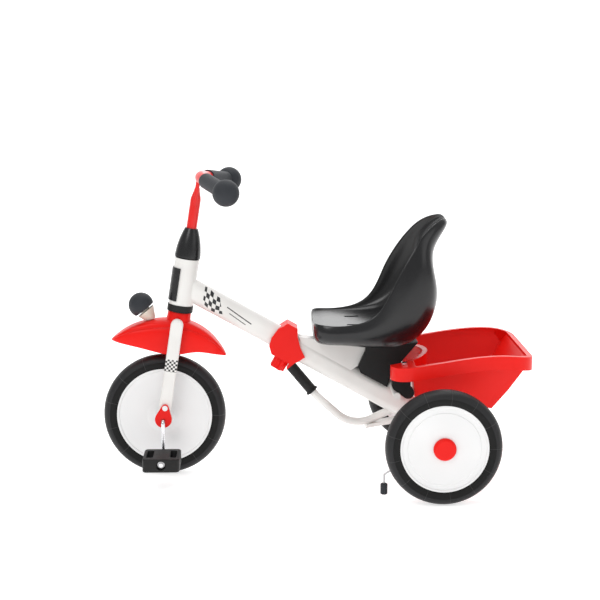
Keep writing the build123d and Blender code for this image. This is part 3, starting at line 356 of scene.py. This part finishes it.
red_plastic = moulded("red_plastic", (0.84, 0.008, 0.004), (0.77, 0.006, 0.003), 0.36, 300, 0.0003,
                      specular_ior_level=0.22)
white_plastic = moulded("white_plastic", (0.84, 0.84, 0.84), (0.79, 0.79, 0.79), 0.38, 260, 0.0003)
cream_plastic = moulded("cream_plastic", (0.72, 0.68, 0.58), (0.66, 0.62, 0.53), 0.42, 300, 0.0003)
black_gloss = moulded("black_gloss", (0.006, 0.006, 0.007), (0.010, 0.010, 0.011), 0.26, 500, 0.0002,
                      specular_ior_level=0.42)
black_plastic = moulded("black_plastic", (0.008, 0.008, 0.008), (0.014, 0.014, 0.014), 0.5, 700, 0.0005,
                        specular_ior_level=0.25)
soft_grip = moulded("soft_grip", (0.020, 0.023, 0.028), (0.032, 0.035, 0.041), 0.6, 600, 0.0008,
                    specular_ior_level=0.3)
print("plastics ready")

# %% [markdown]
# The seat has four belt slots, two in the pan and two in the back. The CAD seat has them cut
# through. This shell has no holes: each slot is painted shade, a dark, dull patch at the same place
# that stands for the shadowed opening and the recess round it, drawn wider than the cut slot so that
# it shows from a distance.

# %% Seat gloss with belt slots drawn as painted shade
seat_gloss = moulded("seat_gloss", (0.006, 0.006, 0.007), (0.010, 0.010, 0.011), 0.24, 500, 0.0002,
                     specular_ior_level=0.45)
x, y, z = seat_gloss.parts(seat_gloss.coordinates)
aside = seat_gloss.node("ShaderNodeMath", {"operation": "ABSOLUTE"}, {0: y})
slot_x = left_hub.x - 0.162
pan_slot = (x > slot_x - 0.014) * (x < slot_x + 0.014) * (aside > 0.0395) * (aside < 0.0505)
back_slot = (z > 0.446) * (z < 0.458) * (aside > 0.031) * (aside < 0.059)
slots = pan_slot * (z < 0.33) + back_slot
# Painted shade: where the slots are, a near-black dull shader takes the place of the shadowed opening that
# the closed shell lacks.
slot_shade = seat_gloss.tree.nodes.new("ShaderNodeBsdfDiffuse")
slot_shade.inputs["Color"].default_value = (0.001, 0.001, 0.001, 1)
cover = seat_gloss.tree.nodes.new("ShaderNodeMixShader")
seat_gloss.tree.links.new(slots.socket, cover.inputs[0])
seat_gloss.tree.links.new(seat_gloss.shader.outputs[0], cover.inputs[1])
seat_gloss.tree.links.new(slot_shade.outputs[0], cover.inputs[2])
seat_gloss.tree.links.new(cover.outputs[0], seat_gloss.tree.nodes["Material Output"].inputs[0])
print("belt slots at", round(slot_x, 3))

# %% [markdown]
# ## Steel
# The crank is bright plated steel and the fixings are plain. Noise stretched along the bars gives
# the drawn lines, and patches of noise dull the plating a little.

# %% Steels
def drawn_steel(name, color, roughness, stretch):
    steel = Finish(name, color, roughness, metallic=1)
    lines = steel.noise(260, 4, stretch=stretch)
    patches = steel.noise(30, 3)
    steel.feed("Base Color", steel.mix(steel.ease(patches, 0.4, 0.75), color, tuple(c * 0.8 for c in color)))
    steel.feed("Roughness", lines * 0.16 + patches * 0.12 + (roughness - 0.12))
    steel.bump(lines, 0.0002, 0.3)
    return steel


bright_steel = drawn_steel("bright_steel", (0.78, 0.78, 0.80), 0.22, (1, 1, 0.12))
steel = drawn_steel("steel", (0.55, 0.55, 0.56), 0.38, (0.2, 1, 1))
print("steels ready")

# %% [markdown]
# ## Tyre rubber
# Each tyre's outer band is painted a lighter grey, a painted sheen where the rounded shoulder catches
# the light. The inner band is darker, and thin mould lines run across it. The distance and the angle
# from the wheel's own centre drive all three.

# %% Tyre rubber
def tyre_rubber(name, hub, radius):
    rubber = Finish(name, (0.018, 0.018, 0.018), 0.55, specular_ior_level=0.25)
    place = rubber.node(
        "ShaderNodeVectorMath", {"operation": "SUBTRACT"}, {0: rubber.coordinates, 1: tuple(hub)}
    )
    x, y, z = rubber.parts(place)
    distance = (x * x + z * z) ** 0.5
    angle = rubber.node("ShaderNodeMath", {"operation": "ARCTAN2"}, {0: z, 1: x})
    outer = rubber.ease(distance, radius - 0.0155, radius - 0.0135)
    speckle = rubber.noise(900, 3, place=place)
    lines = rubber.node("ShaderNodeMath", {"operation": "PINGPONG"}, {0: angle * (13 / (2 * pi)), 1: 0.5})
    groove = 1 - rubber.ease(lines, 0.004, 0.012)
    dark = rubber.mix(speckle, (0.004, 0.004, 0.004), (0.009, 0.009, 0.009))
    # Painted sheen: the outer band's grey stands for light caught by the rounded shoulder, not a grey
    # rubber.
    sheen_grey = rubber.mix(speckle, (0.012, 0.012, 0.013), (0.024, 0.024, 0.025))
    rubber_and_sheen = rubber.mix(outer, dark, sheen_grey)
    rubber.feed("Base Color", rubber.mix(groove * 0.5, rubber_and_sheen, (0.09, 0.09, 0.09)))
    rubber.feed("Roughness", 0.62 - outer * 0.2 + speckle * 0.1)
    step = rubber.ease(distance, radius - 0.0155, radius - 0.0145)
    rubber.bump(speckle * 0.15 + step * 0.6 - groove * 0.8, 0.001, 0.8)
    return rubber


front_radius = (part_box("front_tyre")[1].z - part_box("front_tyre")[0].z) / 2
rear_radius = (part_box("left_rear_tyre")[1].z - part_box("left_rear_tyre")[0].z) / 2
tyre_finishes = {
    "front_tyre": tyre_rubber("front_tyre_rubber", front_hub, front_radius),
    "left_rear_tyre": tyre_rubber("left_tyre_rubber", left_hub, rear_radius),
    "right_rear_tyre": tyre_rubber("right_tyre_rubber", right_hub, rear_radius),
}
print("tyre radii", round(front_radius, 4), round(rear_radius, 4))

# %% [markdown]
# ## Finishes for the CAD nodes
# The record names a material slot for each node, and each slot has one finish. The front tube, the
# fork and the tyres have finishes of their own.

# %% Give every carried-over node its finish
slot_finish = {
    "white_paint": white_paint, "red_paint": red_paint, "red_plastic": red_plastic,
    "white_plastic": white_plastic, "cream_plastic": cream_plastic, "black_gloss": black_gloss,
    "black_plastic": black_plastic, "soft_grip": soft_grip, "steel": steel,
    "bright_steel": bright_steel,
}
for part in frame["record"]["subparts"]:
    name = part["node"]
    finish = tyre_finishes.get(name) or slot_finish[part["material_slot"]]
    if name == "front_tube":
        finish = flag_paint
    if name == "fork":
        finish = fork_paint
    for slot in nodes[name].material_slots:
        slot.material = finish.material

# %% [markdown]
# ## Making pieces
# A finished piece is a mesh at the origin that rides on a CAD body. Three helpers cover nearly all of
# them: one spins an outline about an axis, one lays a grid over a set of cross-sections, and one
# copies a CAD node and rounds its edges with a live bevel.

# %% Helpers for pieces
def add_piece(name, bm, finish, body, replaced=(), sharp=35):
    """Turn a bmesh into a smooth-shaded piece that rides on a body."""
    for face in bm.faces:
        face.smooth = True
    for edge in bm.edges:
        edge.smooth = edge.calc_face_angle(0) < radians(sharp)
    mesh = bpy.data.meshes.new(name)
    bm.to_mesh(mesh)
    bm.free()
    mesh.materials.append(finish.material)
    piece = bpy.data.objects.new(name, mesh)
    bpy.context.scene.collection.objects.link(piece)
    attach(piece, body)
    if replaced:
        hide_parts(*replaced)
    print(name, len(mesh.polygons), "faces")
    return piece


def add_modifier(piece, kind, **settings):
    modifier = piece.modifiers.new(kind.lower(), kind)
    for key, value in settings.items():
        setattr(modifier, key, value)
    return modifier


def turned(outline, centre, axis, steps=96):
    """Spin a closed outline of (radius, distance along the axis) points."""
    axis = Vector(axis).normalized()
    out = axis.orthogonal().normalized()
    bm = bmesh.new()
    ring = [bm.verts.new(centre + out * r * MM + axis * a * MM) for r, a in outline]
    edges = [bm.edges.new((a, b)) for a, b in zip(ring, ring[1:] + ring[:1])]
    bmesh.ops.spin(
        bm, geom=ring + edges, cent=centre, axis=axis, angle=2 * pi, steps=steps, use_merge=True
    )
    bmesh.ops.remove_doubles(bm, verts=bm.verts, dist=1e-6)
    bmesh.ops.recalc_face_normals(bm, faces=bm.faces)
    return bm


def draped(columns, rows, place):
    """A grid of columns by rows, each vertex moved to place(column, row)."""
    bm = bmesh.new()
    bmesh.ops.create_grid(bm, x_segments=columns, y_segments=rows, size=1)
    for vert in bm.verts:
        column = round((vert.co.x + 1) / 2 * columns)
        row = round((vert.co.y + 1) / 2 * rows)
        vert.co = place(column, row)
    bmesh.ops.remove_doubles(bm, verts=bm.verts, dist=1e-6)
    return bm


def softened(node, finish, width=0.8, segments=3, tidy=1.0):
    """A copy of a CAD node with a bevel on its sharp edges."""
    part = next(p for p in frame["record"]["subparts"] if p["node"] == node)
    bm = bmesh.new()
    bm.from_mesh(nodes[node].data)
    bmesh.ops.remove_doubles(bm, verts=bm.verts, dist=2e-6)
    bmesh.ops.dissolve_limit(
        bm, angle_limit=radians(tidy), use_dissolve_boundaries=False, verts=bm.verts, edges=bm.edges
    )
    piece = add_piece(
        node + "_moulded", bm, finish, nodes[node]["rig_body"], (node,), sharp=28
    )
    add_modifier(
        piece, "BEVEL", width=width * MM, segments=segments, limit_method="ANGLE",
        angle_limit=radians(28), harden_normals=True,
    )
    return piece


print("piece helpers ready")

# %% [markdown]
# ## Tyres
# A tyre is turned rubber: a rounded tread, a small step where the side wall starts, and a bead that
# sits in the wheel. Spinning one outline gives an exact ring, rounder than the CAD mesh.

# %% Tyres
def tyre_outline(radius):
    """Half of it is written, and the other half is its mirror image."""
    near = [
        (radius - 28, -17), (radius - 25.5, -19.2), (radius - 24, -20.2), (radius - 19, -20.8),
        (radius - 15.6, -20.9), (radius - 15, -20.3), (radius - 14.4, -20.3), (radius - 13.6, -20.8),
        (radius - 10.5, -20.4), (radius - 7.5, -18.7), (radius - 4.5, -15.6), (radius - 2.2, -11.4),
        (radius - 0.7, -6),
    ]
    return near + [(radius, 0)] + [(r, -y) for r, y in reversed(near)]


for node, hub, radius, body in (
    ("front_tyre", front_hub, front_radius, "front_wheel"),
    ("left_rear_tyre", left_hub, rear_radius, "left_wheel"),
    ("right_rear_tyre", right_hub, rear_radius, "right_wheel"),
):
    bm = turned(tyre_outline(radius / MM), hub, (0, 1, 0), steps=128)
    add_piece(node + "_rubber", bm, tyre_finishes[node], body, (node,))

# %% [markdown]
# ## Bucket seat
# The seat is one blow-moulded shell: a shallow pan, deep curved sides that climb into a rounded back,
# and a rolled rim. It could be carved from a block, but a loft is closer to the real mould: a ring of
# points goes round each cross-section, from rim to rim over the inside and back underneath, and the
# rings follow one another from the front lip to the top of the back. This shell is closed
# underneath, where the CAD seat is open, so the bracket and the block run up into it.

# %% Cross-sections of the seat
# Each row: rim x and z, pan x and z, underside x and z, half width. Millimetres behind the rear axle
# and above the floor.
SEAT_SECTIONS = [
    (-245, 322, -244.5, 318, -245, 303, 50),
    (-244, 327, -239, 317, -245, 291, 74),
    (-239, 328, -228, 316.5, -238, 281, 89),
    (-226, 327, -213, 317, -226, 277, 99),
    (-206, 325, -194, 317, -206, 276.5, 104),
    (-178, 327, -165, 317, -176, 276, 105),
    (-150, 333, -132, 317.5, -143, 271, 105),
    (-127, 347, -103, 320, -108, 267, 105),
    (-111, 368, -78, 329, -76, 268, 105),
    (-99, 396, -55, 346, -45, 278, 105),
    (-89, 421, -38, 368, -20, 299, 105),
    (-78, 441, -26, 391, -2, 329, 103.5),
    (-67, 459, -19, 414, 7, 364, 101),
    (-53, 479, -17, 437, 6, 396, 97),
    (-40, 495, -17, 458, -3, 430, 90),
    (-27, 510, -11, 478, -6, 460, 80),
    (-12, 521, -1, 496, 3, 482, 69),
    (2, 528, 9, 511, 16, 501, 55),
    (15, 532, 19, 522, 25, 515, 40),
    (21, 532, 24, 527, 27, 523, 24),
]
SEAT_RIM = 6
SEAT_COLUMNS = 52


def squared(angle, corner):
    """A point of a rounded-square arc: its share across and its share down."""
    across, down = cos(angle), sin(angle)
    power = 2 / corner
    return (abs(across) ** power * (1 if across >= 0 else -1), abs(down) ** power)


def seat_place(column, row):
    rim_x, rim_z, pan_x, pan_z, under_x, under_z, half = SEAT_SECTIONS[row]
    turn = column % (SEAT_COLUMNS + 1) / SEAT_COLUMNS * 2
    if turn <= 1:
        across, down = squared(pi * turn, 3.4)
        width, low_x, low_z = half - min(SEAT_RIM, half * 0.4), pan_x, pan_z
    else:
        across, down = squared(pi * (2 - turn), 3.6)
        width, low_x, low_z = half, under_x, under_z
    return Vector((
        left_hub.x + (rim_x + (low_x - rim_x) * down) * MM,
        width * across * MM,
        (rim_z + (low_z - rim_z) * down) * MM,
    ))


bm = draped(SEAT_COLUMNS + 1, len(SEAT_SECTIONS) - 1, seat_place)
ends = [edge for edge in bm.edges if edge.is_boundary]
bmesh.ops.holes_fill(bm, edges=ends, sides=0)
bmesh.ops.recalc_face_normals(bm, faces=bm.faces)
seat_shell = add_piece("seat_shell", bm, seat_gloss, "rear_frame", ("seat",), sharp=180)
add_modifier(seat_shell, "SUBSURF", levels=2, render_levels=2)

# %% [markdown]
# ## Mudguard
# The mudguard is an arched moulding with pointed ends: a narrow crown along the top, then a soft
# step, and side panels that bulge out and end in a scalloped lower edge. Rings across the arch make
# it, and Solidify gives the sheet its wall.

# %% Mudguard
# Each row: crown x and z, lower edge x and z, half width, from the front axle and the floor.
GUARD_SECTIONS = [
    (-107, 282, -105.5, 280.6, 6), (-101, 287, -99, 279.4, 17), (-90, 296, -88, 277.6, 26),
    (-74, 306.5, -72, 274.6, 32), (-54, 315.5, -52, 270.5, 35), (-30, 321.8, -29, 264.2, 36),
    (-4, 324.8, -4, 257, 36), (22, 325, 22, 252.6, 36), (44, 321.8, 42, 256, 36),
    (64, 314.5, 60, 259.3, 35.5), (84, 302.5, 78, 259, 33), (101, 287.5, 94, 255.6, 29),
    (115, 270, 109, 251.5, 22), (123.5, 256.5, 119.5, 248.6, 13), (127.5, 247.6, 126.5, 246.4, 5),
]
GUARD_SHAPE = [
    (0, 0), (0.35, 0.004), (0.58, 0.03), (0.70, 0.08), (0.745, 0.14), (0.76, 0.195), (0.775, 0.22),
    (0.83, 0.226), (0.89, 0.25), (0.94, 0.33), (0.975, 0.48), (0.995, 0.73), (1, 1),
]


def guard_place(column, row):
    top_x, top_z, low_x, low_z, half = GUARD_SECTIONS[row]
    side = -1 if column < len(GUARD_SHAPE) - 1 else 1
    across, down = GUARD_SHAPE[abs(column - (len(GUARD_SHAPE) - 1))]
    return Vector((
        front_hub.x + (top_x + (low_x - top_x) * down) * MM,
        side * half * across * MM,
        (top_z + (low_z - top_z) * down) * MM,
    ))


bm = draped(2 * (len(GUARD_SHAPE) - 1), len(GUARD_SECTIONS) - 1, guard_place)
bmesh.ops.recalc_face_normals(bm, faces=bm.faces)
guard_shell = add_piece(
    "mudguard_shell", bm, red_plastic, "steering", ("mudguard",), sharp=180
)
add_modifier(guard_shell, "SOLIDIFY", thickness=2.2 * MM, offset=-1)
add_modifier(guard_shell, "SUBSURF", levels=2, render_levels=2)

collar_base = Vector((front_hub.x, 0, front_hub.z)) + steer_axis * 190 * MM
bm = turned(
    [(14, 0), (31, 0), (27.5, 4), (25, 9), (24, 14), (23.5, 24.5), (22.7, 26), (14, 26)],
    collar_base, steer_axis,
)
collar = add_piece("mudguard_collar", bm, red_plastic, "steering")
add_modifier(collar, "BEVEL", width=0.8 * MM, segments=3, limit_method="ANGLE", angle_limit=radians(30))

# %% [markdown]
# ## Horn and stem
# The squeeze horn is a soft ball cut off flat where it meets its cup. It is round, so its outline is
# spun. It stands up to 12 mm outside the CAD cap, which is a flatter dome.

# %% Horn dome
def arc(radius, start, end, steps, rise=0):
    """Points of an arc as (radius, distance along the axis), angles in degrees from the axis."""
    angles = [radians(start + (end - start) * i / steps) for i in range(steps + 1)]
    return [(max(radius * sin(a), 0.02), rise + radius * cos(a)) for a in angles]


horn_tilt = radians(38)
horn_axis = Vector((-sin(horn_tilt), 0, cos(horn_tilt)))
horn_face = Vector((front_hub.x - 38 * MM, 0, 343 * MM))
dome = [(0.02, 12), (20, 10), (22.5, 0.6)] + list(reversed(arc(25.2, 0, 116, 24, rise=11.5)))
bm = turned(dome, horn_face, horn_axis)
add_piece("horn_dome", bm, soft_grip, "horn_cap", ("horn_cap",), sharp=60)

# %% [markdown]
# The stem's shoulder is a turned sleeve over the CAD stem. It covers the step to the flat tongue.

# %% Stem shoulder
stem_outline = [(9.1, 340), (10.4, 340), (10.4, 447), (9.6, 451), (6.2, 463), (5, 470), (4.2, 470)]
bm = turned(stem_outline, Vector((front_hub.x, 0, front_hub.z)), steer_axis, steps=64)
stem = add_piece("stem_shoulder", bm, red_paint, "steering", sharp=45)
add_modifier(stem, "BEVEL", width=0.6 * MM, segments=2, limit_method="ANGLE", angle_limit=radians(30))

# %% [markdown]
# ## Rounded copies
# The clamp, the knob, the pedals and the tray have the right shape already, but a moulding never has
# knife edges. So each one is copied, its flat triangles are joined, and a bevel is put on the edges
# over 28 degrees. Narrow faces beside an edge stop a bevel short. It is whole on the brake mount,
# partial on the knob, the pedals, the block, the buffers and the tray, and hardly there on the clamp
# halves and the bracket, which keep sharp edges.

# %% Clamp, knob, pedals, tray, block and bracket
for node, finish, width in (
    ("frame_clamp_left", red_plastic, 4), ("frame_clamp_right", red_plastic, 4),
    ("clamp_knob", red_plastic, 1.2), ("left_pedal", black_plastic, 0.9),
    ("right_pedal", black_plastic, 0.9), ("tray", red_plastic, 1.0),
    ("seat_block", black_plastic, 1.5), ("seat_bracket", white_paint, 0.6),
    ("brake_mount", black_plastic, 0.8), ("tray_buffers", black_plastic, 1.0),
):
    softened(node, finish, width)

# %% [markdown]
# ## Studio
# Four soft boxes and an even white surround light the tricycle, as in a catalogue studio. The floor
# and the far wall glow a little, so they stay white and throw light up under the frame.

# %% Floor, wall and lights
def soft_light(name, place, size, power):
    """A square soft box that looks at the tricycle."""
    data = bpy.data.lights.new(name, "AREA")
    data.shape = "SQUARE"
    data.size = size
    data.energy = power
    light = bpy.data.objects.new(name, data)
    bpy.context.scene.collection.objects.link(light)
    light.location = place
    light.rotation_euler = (aim - Vector(place)).to_track_quat("-Z", "Y").to_euler()


soft_light("key_light", (-1.5, -2.3, 2.7), 1.4, 30)
soft_light("fill_light", (2.4, -1.8, 1.6), 1.8, 9)
soft_light("top_light", (0.1, 0.5, 2.6), 1.8, 24)
soft_light("back_light", (0.6, 2.6, 1.8), 2.0, 10)


def studio_plane(name, place, tilt):
    """A very large plane with a glowing pale finish."""
    bm = bmesh.new()
    bmesh.ops.create_grid(bm, x_segments=1, y_segments=1, size=12)
    mesh = bpy.data.meshes.new(name)
    bm.to_mesh(mesh)
    bm.free()
    plane = bpy.data.objects.new(name, mesh)
    bpy.context.scene.collection.objects.link(plane)
    plane.location = place
    plane.rotation_euler.x = tilt
    finish = Finish(name + "_paint", (0.85, 0.85, 0.85), 0.9, emission_strength=0.62)
    finish.shader.inputs["Emission Color"].default_value = (1, 1, 1, 1)
    finish.feed("Base Color", finish.mix(finish.noise(2), (0.85, 0.85, 0.85), (0.83, 0.83, 0.83)))
    mesh.materials.append(finish.material)


studio_plane("floor", (0, 0, -0.0005), 0)
studio_plane("wall", (0, 9, 0), pi / 2)

world = bpy.data.worlds.new("studio")
bpy.context.scene.world = world
world.use_nodes = True
world.node_tree.nodes["Background"].inputs["Color"].default_value = (1, 1, 1, 1)
world.node_tree.nodes["Background"].inputs["Strength"].default_value = 0.55
bpy.context.scene.view_settings.view_transform = "Standard"
print("floor, wall and four soft lights")
